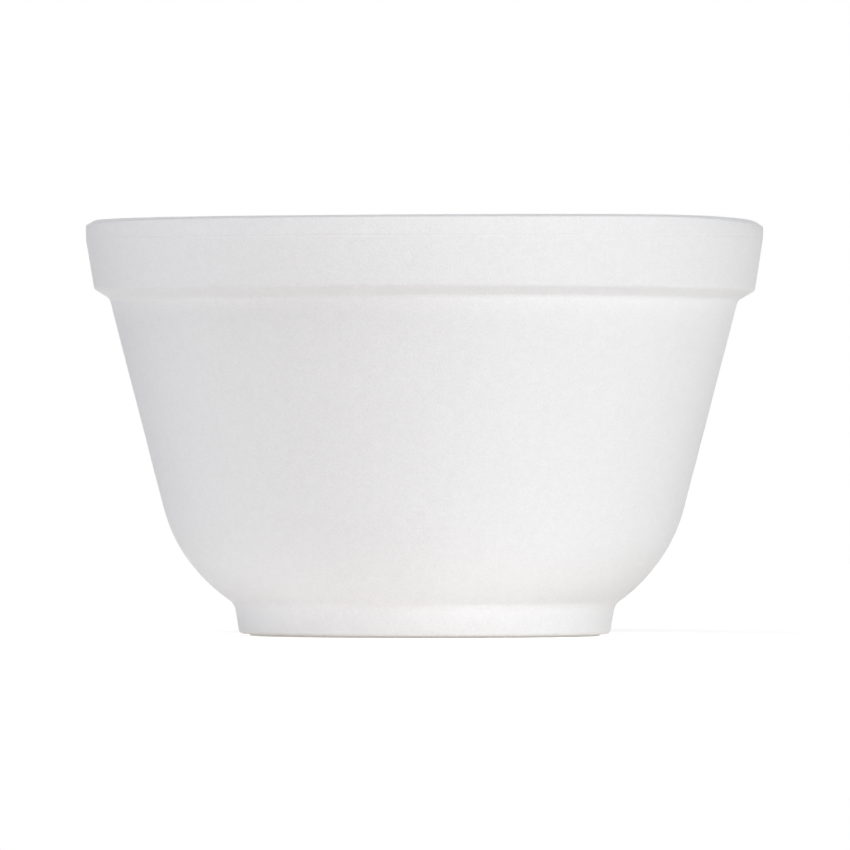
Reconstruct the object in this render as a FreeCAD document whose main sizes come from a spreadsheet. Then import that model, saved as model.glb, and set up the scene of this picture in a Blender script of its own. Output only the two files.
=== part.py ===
import FreeCAD, Part
import Sketcher
import math
import os

# A disposable bowl moulded in one piece from expanded polystyrene foam: a round foot, a
# rounded belly, a straight flared wall and a thick banded rim. Millimetres, +Z up, and
# the origin is the middle of the underside, on the surface that the bowl stands on.

SIZES = [
    # name, value, what it measures
    ("rim_diameter", 114.3, "across the lip, the widest place"),
    ("bowl_height", 70.4, "from the underside to the crest of the rim"),
    ("rim_width", 3.55, "lip face in to the mouth, at the crest"),
    ("crest_land", 0.55, "mouth out to the crest"),
    ("lip_drop", 1.3, "fall of the domed top from its crest to the lip face"),
    ("lip_height", 3.6, "crest down to the parting line"),
    ("parting_step", 0.1, "how far the band is set in below the parting line"),
    ("band_height", 8.8, "parting line down to the band's lower edge"),
    ("band_draft", 8.4, "degrees that the band leans in towards its lower edge"),
    ("wall_inset", 4.15, "lip face in to the top of the wall"),
    ("ledge_drop", 1.7, "band's lower edge down to the top of the wall"),
    ("belly_height", 21.3, "underside up to where the straight wall starts"),
    ("belly_overhang", 11.8, "top of the foot out to where the straight wall starts"),
    ("foot_diameter", 62.6, "across the foot's lower edge, before its rounding"),
    ("foot_height", 5.05, "underside up to the belly"),
    ("foot_draft", 9.3, "degrees that the foot leans in towards the underside"),
    ("wall_thickness", 2.7, "square to the wall"),
    ("floor_thickness", 2.7, "floor of the bowl over the recess"),
    ("cavity_rounding", 24.5, "radius of the inside from its floor to its wall"),
    ("recess_depth", 1.5, "hollow of the underside within the foot"),
    ("ring_width", 4.0, "ring that the bowl stands on, before its roundings"),
    ("recess_draft", 20.0, "degrees that the recess narrows upwards"),
    ("lip_rounding", 0.4, "lip's upper corner"),
    ("mouth_rounding", 0.6, "inner edge of the rim"),
    ("band_rounding", 0.7, "band's lower edge"),
    ("ledge_rounding", 0.35, "hollow corner between ledge and wall"),
    ("foot_rounding", 1.5, "hollow corner between foot and belly"),
    ("edge_rounding", 1.0, "lower edge of the foot"),
    ("recess_rounding", 0.6, "both edges of the recess"),
]

# The outside's corners in order, from the underside up and back to the axis.
BLOCK_CORNERS = ["base_centre", "foot_edge", "foot_top", "belly_top", "wall_top"]
BLOCK_CORNERS += ["band_bottom", "band_top", "lip_bottom", "lip_top", "crest", "crest_centre"]

CUT_CLEARANCE = 5.0  # how far a cutting outline runs past the solid
PLACE_TOLERANCE = 0.001  # how near an edge lies to the corner that it is looked up by

# A sketch's own references, as constraints name them.
HORIZONTAL_AXIS, VERTICAL_AXIS = -1, -2
ORIGIN = (-1, 1)
FIRST_EXTERNAL = -3
START, END = 1, 2


def make_sheet(doc):
    """The driving sizes, one to a row, each with its name as the cell's alias."""
    sheet = doc.addObject("Spreadsheet::Sheet", "size")
    for row, (name, value, meaning) in enumerate(SIZES, start=1):
        sheet.set(f"A{row}", meaning)
        sheet.set(f"B{row}", str(value))
        sheet.setAlias(f"B{row}", name)
    doc.recompute()
    return sheet


def corner_formulas():
    """Each corner of the half section: its distance from the axis and from the underside."""
    lip = "size.rim_diameter / 2"
    parting = "size.bowl_height - size.lip_height"
    band_bottom = f"{parting} - size.band_height"
    band_lean = "size.band_height * tan(size.band_draft * 1 deg)"
    foot = "size.foot_diameter / 2"
    foot_top = f"{foot} + size.foot_height * tan(size.foot_draft * 1 deg)"
    ring = f"{foot} - size.ring_width"
    recess_lean = "size.recess_depth * tan(size.recess_draft * 1 deg)"
    mouth = f"{lip} - size.rim_width"
    return {
        "base_centre": ("0", "0"),
        "foot_edge": (foot, "0"),
        "foot_top": (foot_top, "size.foot_height"),
        "belly_top": (f"{foot_top} + size.belly_overhang", "size.belly_height"),
        "wall_top": (f"{lip} - size.wall_inset", f"{band_bottom} - size.ledge_drop"),
        "band_bottom": (f"{lip} - size.parting_step - {band_lean}", band_bottom),
        "band_top": (f"{lip} - size.parting_step", parting),
        "lip_bottom": (lip, parting),
        "lip_top": (lip, "size.bowl_height - size.lip_drop"),
        "crest": (f"{mouth} + size.crest_land", "size.bowl_height"),
        "crest_centre": ("0", "size.bowl_height"),
        "floor_centre": ("0", "size.recess_depth + size.floor_thickness"),
        "mouth": (mouth, "size.bowl_height"),
        "above_mouth": (mouth, f"size.bowl_height + {CUT_CLEARANCE}"),
        "above_centre": ("0", f"size.bowl_height + {CUT_CLEARANCE}"),
        "recess_centre": ("0", "size.recess_depth"),
        "recess_top": (f"{ring} - {recess_lean}", "size.recess_depth"),
        "recess_edge": (ring, "0"),
        "below_edge": (ring, f"-{CUT_CLEARANCE}"),
        "below_centre": ("0", f"-{CUT_CLEARANCE}"),
    }


FORMULAS = corner_formulas()


def place_of(sheet, name):
    """A corner's place in the half section, as the sheet's present values give it."""
    across, up = (float(sheet.evalExpression(formula)) for formula in FORMULAS[name])
    return FreeCAD.Vector(across, up, 0)


def new_sketch(body, name):
    """A sketch on the upright plane through the axis, across along X and up along Z."""
    plane = next(p for p in body.Origin.OriginFeatures if p.Role == "XZ_Plane")
    sketch = body.newObject("Sketcher::SketchObject", name)
    sketch.AttachmentSupport = [(plane, "")]
    sketch.MapMode = "FlatFace"
    return sketch


def constrain(sketch, *terms):
    return sketch.addConstraint(Sketcher.Constraint(*terms))


def hold(sketch, geometry, name, place):
    """Dimensions a stretch's first end from the axis and the underside, bound to the sheet."""
    axes = (("DistanceX", VERTICAL_AXIS, place.x), ("DistanceY", HORIZONTAL_AXIS, place.y))
    for (kind, axis, distance), formula in zip(axes, FORMULAS[name]):
        if formula == "0":
            constrain(sketch, "PointOnObject", geometry, START, axis)
            continue
        index = constrain(sketch, kind, *ORIGIN, geometry, START, distance)
        label = f"{name}_{kind[-1]}"
        sketch.renameConstraint(index, label)
        sketch.setExpression(f"Constraints.{label}", formula)


def arc_into(start, end, beyond):
    """An arc from start to end that runs on smoothly into the line from end to beyond."""
    chord = end - start
    outwards = FreeCAD.Vector(chord.y, -chord.x, 0).normalize()
    rise = chord.Length / 2 * math.tan(chord.getAngle(beyond - end) / 2)
    return Part.Arc(start, (start + end) / 2 + outwards * rise, end)


def draw_outline(sketch, places, rounded, smooth):
    """A closed outline through the places. A stretch that starts at a rounded corner is an
    arc, the others are straight, and the outline has no kink at a smooth corner."""
    names = list(places)
    count = len(names)
    for i, name in enumerate(names):
        start, end, beyond = (places[names[(i + step) % count]] for step in range(3))
        stretch = arc_into(start, end, beyond) if name in rounded else Part.LineSegment(start, end)
        sketch.addGeometry(stretch, False)
    for i, name in enumerate(names):
        kind = "Tangent" if name in smooth else "Coincident"
        constrain(sketch, kind, (i - 1) % count, END, i, START)


def draw_held_outline(sheet, sketch, names, rounded=(), smooth=()):
    """An outline whose corners are all dimensioned."""
    places = {name: place_of(sheet, name) for name in names}
    draw_outline(sketch, places, rounded, smooth)
    for i, name in enumerate(names):
        hold(sketch, i, name, places[name])


def draw_block(sheet, sketch):
    """The outside of the bowl, as a solid block."""
    draw_held_outline(
        sheet, sketch, BLOCK_CORNERS, rounded=("foot_top", "lip_top"), smooth=("belly_top", "crest")
    )


def draw_recess(sheet, sketch):
    """The shallow hollow of the underside, which leaves the ring that the bowl stands on."""
    names = ["below_centre", "below_edge", "recess_edge", "recess_top", "recess_centre"]
    draw_held_outline(sheet, sketch, names)


def draw_cavity(sheet, sketch, block):
    """The inside of the bowl: a flat floor, one large rounding into a wall that stays at
    its thickness from the outside, and a stretch behind the band up to the mouth."""
    held = ["floor_centre", "mouth", "above_mouth", "above_centre"]
    places = {name: place_of(sheet, name) for name in held}
    inwards = FreeCAD.Vector(-sheet.wall_thickness, 0, 0)
    places["wall_foot"] = place_of(sheet, "belly_top") + inwards
    places["band_inside"] = place_of(sheet, "wall_top") + inwards
    floor_radius = places["wall_foot"].x - sheet.cavity_rounding
    places["floor_edge"] = FreeCAD.Vector(floor_radius, places["floor_centre"].y, 0)
    names = ["floor_centre", "floor_edge", "wall_foot", "band_inside", "mouth"]
    names += ["above_mouth", "above_centre"]
    ordered = {name: places[name] for name in names}
    draw_outline(sketch, ordered, ("floor_edge",), ("floor_edge", "wall_foot"))
    for name in held:
        hold(sketch, names.index(name), name, places[name])
    floor, corner, wall, band = range(4)
    constrain(sketch, "Horizontal", floor)
    radius = constrain(sketch, "Radius", corner, sheet.cavity_rounding)
    sketch.setExpression(f"Constraints[{radius}]", "size.cavity_rounding")
    sketch.addExternal(block.Name, f"Edge{BLOCK_CORNERS.index('belly_top') + 1}")
    constrain(sketch, "Parallel", wall, FIRST_EXTERNAL)
    wall_gap = constrain(sketch, "Distance", wall, END, FIRST_EXTERNAL, sheet.wall_thickness)
    sketch.setExpression(f"Constraints[{wall_gap}]", "size.wall_thickness")
    top = constrain(sketch, "DistanceY", *ORIGIN, band, START, places["band_inside"].y)
    sketch.setExpression(f"Constraints[{top}]", FORMULAS["wall_top"][1])


def turn(body, kind, name, sketch):
    """A full turn of a sketch about the bowl's axis, which adds to the body or cuts it."""
    feature = body.newObject(f"PartDesign::{kind}", name)
    feature.Profile = sketch
    feature.ReferenceAxis = (sketch, ["V_Axis"])
    feature.Angle = 360
    sketch.Document.recompute()
    return feature


def edge_at(shape, place):
    """The name of the round edge that runs through a corner of the half section."""
    for number, edge in enumerate(shape.Edges, start=1):
        circle = edge.Curve
        if not isinstance(circle, Part.Circle):
            continue
        miss = math.hypot(circle.Radius - place.x, circle.Center.z - place.y)
        if miss < PLACE_TOLERANCE:
            return f"Edge{number}"
    raise ValueError(f"no round edge {place.x:.2f} mm from the axis, {place.y:.2f} mm up")


def round_off(sheet, body, corners, radius_name):
    """Rounds the edges at these corners, on the inside or the outside of the wall."""
    base = body.Tip
    fillet = body.newObject("PartDesign::Fillet", radius_name.title().replace("_", ""))
    fillet.Base = (base, [edge_at(base.Shape, place_of(sheet, name)) for name in corners])
    fillet.setExpression("Radius", f"size.{radius_name}")
    sheet.Document.recompute()


def make_bowl(doc, sheet):
    """The whole bowl: a turned block, hollowed from above and below, with rounded edges."""
    body = doc.addObject("PartDesign::Body", "Bowl")
    body.Label = "bowl"
    block_sketch = new_sketch(body, "BlockOutline")
    draw_block(sheet, block_sketch)
    block = turn(body, "Revolution", "Block", block_sketch)
    cavity_sketch = new_sketch(body, "CavityOutline")
    draw_cavity(sheet, cavity_sketch, block_sketch)
    cavity = turn(body, "Groove", "Cavity", cavity_sketch)
    recess_sketch = new_sketch(body, "RecessOutline")
    draw_recess(sheet, recess_sketch)
    recess = turn(body, "Groove", "Recess", recess_sketch)
    volumes = [feature.Shape.Volume for feature in (block, cavity, recess)]
    if not volumes[0] > volumes[1] > volumes[2]:
        raise ValueError(f"a hollow cut nothing away: {volumes}")
    round_off(sheet, body, ["lip_top"], "lip_rounding")
    round_off(sheet, body, ["mouth"], "mouth_rounding")
    round_off(sheet, body, ["band_bottom"], "band_rounding")
    round_off(sheet, body, ["wall_top"], "ledge_rounding")
    round_off(sheet, body, ["foot_top"], "foot_rounding")
    round_off(sheet, body, ["foot_edge"], "edge_rounding")
    round_off(sheet, body, ["recess_edge", "recess_top"], "recess_rounding")
    body.Placement = FreeCAD.Placement()
    return body


def check_document(doc, bodies):
    """Stops before anything is written if an object failed, a sketch can still move or a
    sub-part isn't sound."""
    for item in doc.Objects:
        if "Invalid" in item.State or "Error" in item.State:
            raise ValueError(f"{item.Name} failed: {item.State}")
        if item.TypeId == "Sketcher::SketchObject" and not item.FullyConstrained:
            raise ValueError(f"{item.Name} isn't fully dimensioned")
    for body in bodies:
        if body.Shape.isNull() or not body.Shape.isValid():
            raise ValueError(f"{body.Label} has no sound shape")


doc = FreeCAD.newDocument("FoamBowl")
sheet = make_sheet(doc)
bodies = [make_bowl(doc, sheet)]
doc.recompute()
check_document(doc, bodies)
os.makedirs("parts", exist_ok=True)
for body in bodies:
    body.Shape.exportStep(f"parts/{body.Label}.step")
    box = body.Shape.optimalBoundingBox(False)
    size = f"{box.XLength:.2f} x {box.YLength:.2f} x {box.ZLength:.2f} mm"
    print(f"{body.Label}: {size}, {body.Shape.Volume / 1000:.2f} cm3")
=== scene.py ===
import bmesh
import bpy
import math
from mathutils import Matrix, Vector, noise


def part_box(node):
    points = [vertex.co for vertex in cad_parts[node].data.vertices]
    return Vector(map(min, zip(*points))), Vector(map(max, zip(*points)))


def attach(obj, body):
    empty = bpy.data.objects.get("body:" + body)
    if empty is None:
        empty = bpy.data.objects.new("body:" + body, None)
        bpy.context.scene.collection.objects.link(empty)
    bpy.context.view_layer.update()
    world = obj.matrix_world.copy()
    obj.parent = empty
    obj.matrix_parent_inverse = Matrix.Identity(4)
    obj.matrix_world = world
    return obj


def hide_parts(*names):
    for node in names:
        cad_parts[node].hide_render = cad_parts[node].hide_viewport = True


# white foam bowl, moulded in one piece, standing empty on a white table
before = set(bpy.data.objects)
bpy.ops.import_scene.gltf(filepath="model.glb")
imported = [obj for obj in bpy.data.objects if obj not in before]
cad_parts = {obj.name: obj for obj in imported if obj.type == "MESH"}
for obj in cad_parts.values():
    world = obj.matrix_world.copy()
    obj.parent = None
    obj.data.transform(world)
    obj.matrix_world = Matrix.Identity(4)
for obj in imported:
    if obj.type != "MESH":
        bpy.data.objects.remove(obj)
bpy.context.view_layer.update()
low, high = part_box("bowl")
mm = 0.001

# in mm; the rim and the height come from the frame
bowlSizes = {
    "rimRadius": high.x / mm,
    "height": high.z / mm,
    "rimWidth": 3.55,
    "crestLand": 1.6,  # flat top of the lip
    "lipDrop": 0.4,
    "lipHeight": 3.6,
    "bandHeight": 8.8,
    "bandLean": 1.4,  # lip face in to the band's lower edge
    "wallInset": 4.15,
    "ledgeDrop": 1.7,
    "bellyHeight": 21.3,
    "bellyOverhang": 11.8,
    "footRadius": 31.3,
    "footHeight": 5.05,
    "footLean": 0.83,
    "rise": 0.3,  # all above the foot sits this much higher than in the frame
    "footGap": 0.3,  # the foot stands on a pad, a little in from its edge
    "padRadius": 29.4,
    "padLean": 0.2,
    "wall": 2.7,
    "floorTop": 4.2,
    "cavityRounding": 24.5,
    "recessDepth": 1.5,
    "ringWidth": 4.0,
    "recessLean": 0.55,
    "partingDepth": 0.045,  # faint groove where the mould halves met
    "partingWidth": 0.4,
    "bandStep": 0.03,
    "bellySteps": 20,
    "lipSteps": 6,
    "cavitySteps": 24,
    "segments": 400,
    "rowGap": 1.5,
}

# rounded corners of the section: radius in mm and steps
bowlRounding = {
    "recess": (0.6, 4),
    "ring": (0.6, 4),
    "pad": (0.08, 2),
    "footEdge": (0.8, 7),
    "footTop": (2.2, 7),
    "ledge": (1.4, 6),
    "bandEdge": (0.9, 7),
    "grooveEdge": (0.05, 2),
    "groove": (0.03, 2),
    "lipEdge": (0.08, 3),
    "lip": (0.3, 4),
    "mouth": (0.6, 6),
    "throat": (6.0, 2),
}

# how the real piece strays from a true round, in mm
bowlWander = {
    "lean": 0.08,  # the body stands a little lower on the right
    "lipTilt": 0.27,  # and the lip rises towards the right
    "ledgeRise": 0.5,  # the ledge arches up at the front and the back
    "ledgeWave": 0.25,  # higher at the front right than at the front left
    "ledgeTilt": -0.1,
    "ledgeHeights": (51, 55.5, 58, 63),  # the warp grows, holds and fades between these
    "ledgeRadii": (51, 52.5),
    "footShift": 0.15,
    "footFade": (5, 14),
    "lipShift": 0.12,  # the whole rim sits a little to the right of the wall
    "crestDrop": 0.14,
    "crestTilt": 0.09,
    "rightDrop": 1.05,  # the lip's top falls away at the right
    "leftDrop": 0.22,
    "shoulderDrop": 0.45,  # both ends of the lip are rounder than its front
    "shoulderRadii": (55.2, 57),
    "swell": 0.02,  # slow unevenness of the skin
    "swellSize": 6.0,
    "flash": 0.04,  # ragged edges of the parting groove
    "flashSize": 2.5,
}


def startFresh():
    if bpy.context.object and bpy.context.object.mode != "OBJECT":
        bpy.ops.object.mode_set(mode="OBJECT")
    bpy.ops.object.select_all(action="DESELECT")


def arcInto(start, end, along, steps):
    # points between start and end, on the arc that meets end in the direction along
    side = Vector((-along.y, along.x))
    back = start - end
    radius = back.length_squared / (2 * side.dot(back))
    centre = end + side * radius
    first, last = start - centre, end - centre
    sweep = math.atan2(first.cross(last), first.dot(last))
    points = []
    for i in range(1, steps):
        c, d = math.cos(sweep * i / steps), math.sin(sweep * i / steps)
        points.append(centre + Vector((first.x * c - first.y * d, first.x * d + first.y * c)))
    return points


def bowlOutline(s, rounding):
    # half section from the middle of the underside, round the rim, to the middle of the floor:
    # distance from the axis, height, and where a corner is rounded, its radius and steps
    lip = s["rimRadius"]
    top = s["height"] + s["rise"]
    parting = top - s["lipHeight"]
    band = lip - s["bandStep"]
    ringInside = s["footRadius"] - s["ringWidth"]
    footTop = Vector((s["footRadius"] + s["footLean"], s["footHeight"] + s["rise"]))
    bellyTop = Vector((footTop.x + s["bellyOverhang"], s["bellyHeight"] + s["rise"]))
    bandBottom = Vector((lip - s["bandLean"], parting - s["bandHeight"]))
    wallTop = Vector((lip - s["wallInset"], bandBottom.y - s["ledgeDrop"]))
    lipTop = Vector((lip, top - s["lipDrop"]))
    mouth = Vector((lip - s["rimWidth"], top))
    crest = mouth + Vector((s["crestLand"], 0))
    upWall = (wallTop - bellyTop).normalized()
    wallInside = wallTop + Vector((-upWall.y, upWall.x)) * s["wall"]
    floorCorner = wallInside - upWall * (wallInside.y - s["floorTop"]) / upWall.y
    halfTurn = upWall.angle(Vector((1, 0))) / 2
    reach = s["cavityRounding"] * math.tan(halfTurn)
    cavityStart = floorCorner + upWall * reach
    floorEdge = floorCorner - Vector((reach, 0))
    inwards = Vector((-1, 0))
    groove = s["partingWidth"] / 2
    outline = [
        (0, s["recessDepth"]),
        (ringInside - s["recessLean"], s["recessDepth"], *rounding["recess"]),
        (ringInside, 0, *rounding["ring"]),
        (s["padRadius"], 0, *rounding["pad"]),
        (s["padRadius"] + s["padLean"], s["footGap"], *rounding["pad"]),
        (s["footRadius"], s["footGap"], *rounding["footEdge"]),
        (*footTop, *rounding["footTop"]),
        *arcInto(footTop, bellyTop, upWall, s["bellySteps"]),
        bellyTop,
        (*wallTop, *rounding["ledge"]),
        (*bandBottom, *rounding["bandEdge"]),
        (band, parting - groove, *rounding["grooveEdge"]),
        (band - s["partingDepth"], parting, *rounding["groove"]),
        (lip, parting + groove, *rounding["lipEdge"]),
        (*lipTop, *rounding["lip"]),
        *arcInto(lipTop, crest, inwards, s["lipSteps"]),
        crest,
        (*mouth, *rounding["mouth"]),
        (*wallInside, *rounding["throat"]),
        cavityStart,
        *arcInto(cavityStart, floorEdge, inwards, s["cavitySteps"]),
        floorEdge,
        (0, s["floorTop"]),
    ]
    return [tuple(corner) for corner in outline]


def selectCorner(piece, place):
    bpy.ops.mesh.select_all(action="DESELECT")
    shape = bmesh.from_edit_mesh(piece.data)
    for v in shape.verts:
        v.select = (v.co - place).length < 1e-6
    bmesh.update_edit_mesh(piece.data)


def drawOutline(piece, outline):
    # one vertex is pulled from corner to corner, then the corners are rounded
    corners = [Vector((c[0] * mm, 0, c[1] * mm)) for c in outline]
    bpy.ops.transform.translate(value=corners[0])
    for here, following in zip(corners, corners[1:]):
        bpy.ops.mesh.extrude_vertices_move(TRANSFORM_OT_translate={"value": following - here})
    for i, corner in enumerate(outline):
        if len(corner) > 2:
            _, _, radius, steps = corner
            turn = (corners[i] - corners[i - 1]).angle(corners[i + 1] - corners[i])
            selectCorner(piece, corners[i])
            bpy.ops.mesh.bevel(offset=radius * math.tan(turn / 2) * mm, segments=steps, affect="VERTICES")


def addRows(piece, gap):
    # divides the long straight stretches, the longest first
    bpy.ops.mesh.select_mode(type="EDGE")
    while True:
        shape = bmesh.from_edit_mesh(piece.data)
        cuts = [math.ceil(e.calc_length() / gap) - 1 for e in shape.edges]
        most = max(cuts)
        if most < 1:
            break
        for e, number in zip(shape.edges, cuts):
            e.select = number == most
        bmesh.update_edit_mesh(piece.data)
        bpy.ops.mesh.subdivide(number_cuts=most)
    bpy.ops.mesh.select_mode(type="VERT")


def fade(value, start, end):
    share = min(max((value - start) / (end - start), 0), 1)
    return share * share * (3 - 2 * share)


def ledgeLift(place, radius, sideways, w):
    # how far the ledge is warped up here
    warp = w["ledgeRise"] * (1 - sideways ** 2) + w["ledgeTilt"] * sideways
    warp += w["ledgeWave"] * math.sin(2 * math.atan2(place.x, -place.y))
    start, full, still, end = w["ledgeHeights"]
    near = fade(place.z, start, full) * (1 - fade(place.z, still, end))
    return warp * near * fade(radius, *w["ledgeRadii"])


def stray(piece, s, w):
    # takes the body and the rim a little out of true and lets the skin and the parting line wander
    top = s["height"] + s["rise"]
    parting = top - s["lipHeight"]
    bandBottom = parting - s["bandHeight"]
    outwards = [v.normal.copy() for v in piece.data.vertices]
    for v, normal in zip(piece.data.vertices, outwards):
        place = v.co / mm
        radius = math.hypot(place.x, place.y)
        sideways = place.x / s["rimRadius"]
        inLip = fade(place.z, bandBottom + 1, parting)
        inCrest = fade(place.z, parting + 0.3, top)
        inRim = fade(place.z, bandBottom - 2.5, bandBottom + 1)
        inFoot = 1 - fade(place.z, *w["footFade"])
        swell = w["swell"] * noise.noise(place / w["swellSize"]) * fade(place.z, 0.5, 4)
        ragged = 0
        if radius > s["rimRadius"] - 1:
            ragged = w["flash"] * noise.noise(Vector((place.x, place.y, 0)) / w["flashSize"])
            ragged *= 1 - fade(abs(place.z - parting), 0.02, s["partingWidth"])
        lift = w["lean"] * (s["footRadius"] - place.x) / s["rimRadius"]
        lift += w["lipTilt"] * sideways * inLip
        lift += (w["crestTilt"] * sideways - w["crestDrop"]) * inCrest
        lift += ledgeLift(place, radius, sideways, w)
        ends = w["rightDrop"] if place.x > 0 else w["leftDrop"]
        ends += w["shoulderDrop"] * fade(radius, *w["shoulderRadii"])
        lift -= ends * sideways ** 8 * inCrest
        place += normal * (swell + ragged)
        place.x += w["lipShift"] * inRim
        place.x += w["footShift"] * inFoot
        place.z += lift
        v.co = place * mm


def makeBowl():
    startFresh()
    bpy.ops.mesh.primitive_plane_add(size=mm)
    piece = bpy.context.object
    piece.name = piece.data.name = "foamBowl"
    bpy.ops.object.mode_set(mode="EDIT")
    bpy.ops.mesh.merge(type="CENTER")
    drawOutline(piece, bowlOutline(bowlSizes, bowlRounding))
    addRows(piece, bowlSizes["rowGap"] * mm)
    bpy.ops.mesh.select_all(action="SELECT")
    bpy.ops.mesh.spin(steps=bowlSizes["segments"], angle=2 * math.pi, center=(0, 0, 0), axis=(0, 0, 1))
    bpy.ops.mesh.select_all(action="SELECT")
    bpy.ops.mesh.remove_doubles(threshold=1e-6)
    bpy.ops.mesh.normals_make_consistent(inside=False)
    bpy.ops.object.mode_set(mode="OBJECT")
    stray(piece, bowlSizes, bowlWander)
    bpy.ops.object.shade_smooth()
    print("bowl:", len(piece.data.vertices), "vertices", len(piece.data.polygons), "faces")
    return piece


class Shade:
    # a socket of a material's nodes; sums written on it become Math nodes
    def __init__(self, tree, socket=None):
        self.tree = tree
        self.socket = socket

    def node(self, kind, settings=None, inputs=None, output=0):
        made = self.tree.nodes.new("ShaderNode" + kind)
        for name, value in (settings or {}).items():
            setattr(made, name, value)
        for name, value in (inputs or {}).items():
            if isinstance(value, Shade):
                self.tree.links.new(value.socket, made.inputs[name])
            else:
                made.inputs[name].default_value = value
        return Shade(self.tree, made.outputs[output])

    def math(self, operation, first, second=0.0):
        return self.node("Math", {"operation": operation}, {0: first, 1: second})

    def __add__(self, other):
        return self.math("ADD", self, other)

    def __sub__(self, other):
        return self.math("SUBTRACT", self, other)

    def __rsub__(self, other):
        return self.math("SUBTRACT", other, self)

    def __mul__(self, other):
        return self.math("MULTIPLY", self, other)

    __radd__ = __add__
    __rmul__ = __mul__


foamLook = {
    "white": 0.9,
    "roughness": 0.75,
    "shine": 0.2,
    "grainSize": 0.3,  # mm, like the other sizes and depths
    "grainDepth": 0.06,
    "grainShade": 0.14,
    "beadSize": 1.5,  # the foam beads barely show through the skin
    "beadDepth": 0.006,
    "beadShade": 0.012,
    "cloudSize": 1.3,
    "cloudShade": 0.03,
}


def speckle(start, place, size, detail):
    # noise that varies over size, in mm
    values = {"Vector": place, "Scale": 1 / (size * mm), "Detail": detail}
    return start.node("TexNoise", None, values, "Fac")


def foamMaterial(look):
    foam = bpy.data.materials.new("whiteFoam")
    foam.use_nodes = True
    tree = foam.node_tree
    shader = tree.nodes["Principled BSDF"]
    start = Shade(tree)
    place = start.node("TexCoord", output="Object")
    grain = speckle(start, place, look["grainSize"], 2.0)
    cloud = speckle(start, place, look["cloudSize"], 1.0)
    beadValues = {"Vector": place, "Scale": 1 / (look["beadSize"] * mm)}
    bead = start.node("TexVoronoi", {"feature": "SMOOTH_F1"}, beadValues, "Distance")
    shade = (grain - 0.5) * look["grainShade"] + (cloud - 0.5) * look["cloudShade"]
    shade = shade - (bead - 0.4) * look["beadShade"] + look["white"]
    relief = grain * look["grainDepth"] - bead * look["beadDepth"]
    bump = start.node("Bump", None, {"Height": relief, "Distance": mm, "Strength": 1.0}, "Normal")
    colour = start.node("CombineColor", None, {"Red": shade, "Green": shade, "Blue": shade}, "Color")
    tree.links.new(colour.socket, shader.inputs["Base Color"])
    shader.inputs["Roughness"].default_value = look["roughness"]
    shader.inputs["Specular IOR Level"].default_value = look["shine"]
    tree.links.new(bump.socket, shader.inputs["Normal"])
    print("foam material ready")
    return foam


def seenRay(tree):
    # 1 for what the camera sees, straight or in a shine or through glass, and 0 for light on the bowl
    ray = tree.nodes.new("ShaderNodeLightPath")
    seen = Shade(tree, ray.outputs["Is Camera Ray"]) + Shade(tree, ray.outputs["Is Glossy Ray"])
    return seen + Shade(tree, ray.outputs["Is Transmission Ray"])


table = {
    "size": 2.2,
    "white": 0.9,
    "bounce": 0.18,  # painted bounce light: the table glows with this for the light on the bowl, a little warm; the camera doesn't see it
    "bounceTint": (1.0, 0.913, 0.78),
    "seenWhite": 1.0,
    "glow": 0.57,  # keeps the table white to the camera where nothing shades it
}


def makeTable():
    startFresh()
    bpy.ops.mesh.primitive_plane_add(size=table["size"])
    top = bpy.context.object
    top.name = "table"
    paint = bpy.data.materials.new("whiteTable")
    paint.use_nodes = True
    tree = paint.node_tree
    tree.nodes.clear()
    start = Shade(tree)
    matt = start.node("BsdfDiffuse", None, {"Color": (table["white"],) * 3 + (1,)})
    # painted bounce light: a warm glow of the table that lights the bowl from below, unseen by the camera
    bounce = start.node("Emission", None, {"Color": (*table["bounceTint"], 1), "Strength": table["bounce"]})
    underLit = start.node("AddShader", None, {0: matt, 1: bounce})
    shown = start.node("BsdfDiffuse", None, {"Color": (table["seenWhite"],) * 3 + (1,)})
    glow = start.node("Emission", None, {"Color": (1, 1, 1, 1), "Strength": table["glow"]})
    lit = start.node("AddShader", None, {0: shown, 1: glow})
    both = start.node("MixShader", None, {0: seenRay(tree), 1: underLit, 2: lit})
    output = tree.nodes.new("ShaderNodeOutputMaterial")
    tree.links.new(both.socket, output.inputs["Surface"])
    top.data.materials.append(paint)
    print("table set")


surround = {"light": 0.0, "seen": 1.0}  # lights nothing, and shows white


def makeSurround():
    world = bpy.data.worlds.new("studio")
    bpy.context.scene.world = world
    world.use_nodes = True
    tree = world.node_tree
    tree.nodes.clear()
    start = Shade(tree)
    light = start.node("Background", None, {"Color": (1, 1, 1, 1), "Strength": surround["light"]})
    white = start.node("Background", None, {"Color": (1, 1, 1, 1), "Strength": surround["seen"]})
    both = start.node("MixShader", None, {0: seenRay(tree), 1: light, 2: white})
    output = tree.nodes.new("ShaderNodeOutputWorld")
    tree.links.new(both.socket, output.inputs["Surface"])
    print("surround set")


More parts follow.
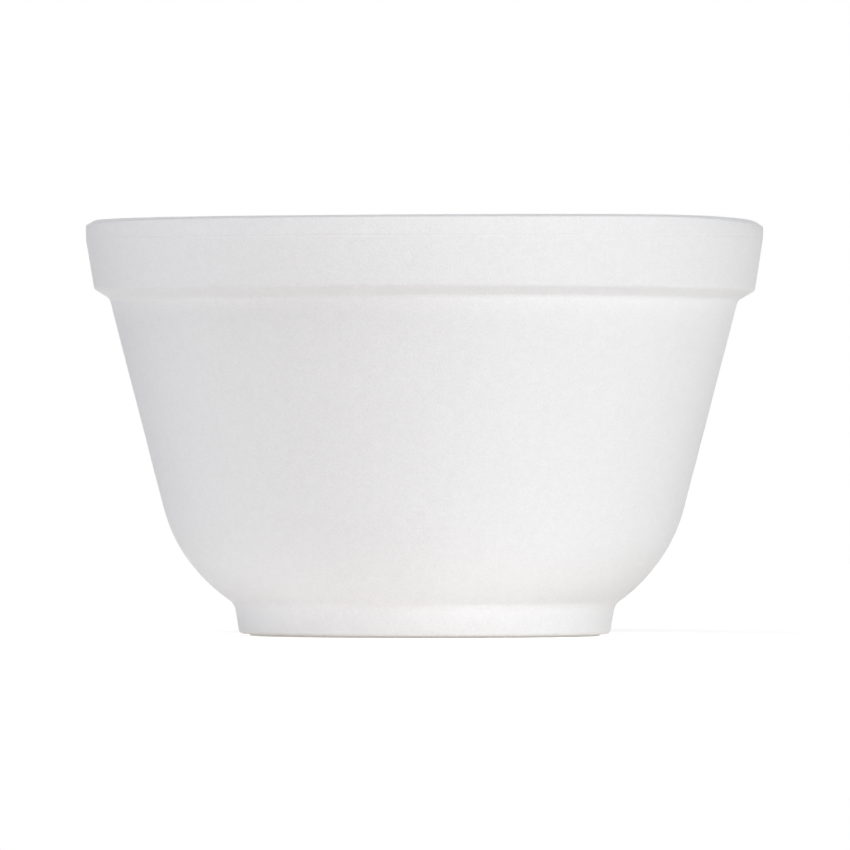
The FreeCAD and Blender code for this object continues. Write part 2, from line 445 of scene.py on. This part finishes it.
# azimuth runs from the front round to the right, in degrees like the elevation
lamps = {
    "front": {"azimuth": 0, "elevation": 15, "power": 7.7, "tint": (1.0, 0.972, 0.977)},
    "above": {"azimuth": -30, "elevation": 65, "power": 7.1, "tint": (0.965, 0.969, 1.0)},
    "left": {"azimuth": -90, "elevation": 15, "power": 5.8, "tint": (0.869, 0.901, 1.0)},
    "right": {"azimuth": 60, "elevation": 15, "power": 9.8, "tint": (0.944, 0.966, 1.0)},
    "back": {"azimuth": 180, "elevation": 30, "power": 5.0, "tint": (1.0, 1.0, 1.0)},
}
lampSpread = {"away": 1.6, "size": 0.7}


def addLamp(name, lamp):
    azimuth = math.radians(lamp["azimuth"])
    elevation = math.radians(lamp["elevation"])
    level = math.cos(elevation)
    towards = Vector((math.sin(azimuth) * level, -math.cos(azimuth) * level, math.sin(elevation)))
    startFresh()
    bpy.ops.object.light_add(type="AREA", location=towards * lampSpread["away"])
    item = bpy.context.object
    item.name = name
    item.rotation_euler = towards.to_track_quat("Z", "Y").to_euler()
    item.data.shape = "DISK"
    item.data.size = lampSpread["size"]
    item.data.energy = lamp["power"]
    item.data.color = lamp["tint"]
    item.visible_camera = False
    print("lamp:", name)


shot = {"away": 2.87, "height": 0.0433, "sideways": 0.0002, "aimHeight": 0.03557, "lens": 720.0}


def makeCamera():
    startFresh()
    spot = Vector((shot["sideways"], -shot["away"], shot["height"]))
    aim = Vector((shot["sideways"], 0, shot["aimHeight"]))
    bpy.ops.object.camera_add(location=spot)
    camera = bpy.context.object
    camera.rotation_euler = (aim - spot).to_track_quat("-Z", "Y").to_euler()
    camera.data.lens = shot["lens"]
    camera.data.sensor_width = 36
    camera.data.clip_start = 0.1
    camera.data.clip_end = 10
    bpy.context.scene.camera = camera
    print("camera set")


bowl = makeBowl()
bowl.data.materials.append(foamMaterial(foamLook))
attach(bowl, "root")
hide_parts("bowl")
makeTable()
makeSurround()
for name, lamp in lamps.items():
    addLamp(name, lamp)
makeCamera()
bpy.context.scene.view_settings.view_transform = "Standard"
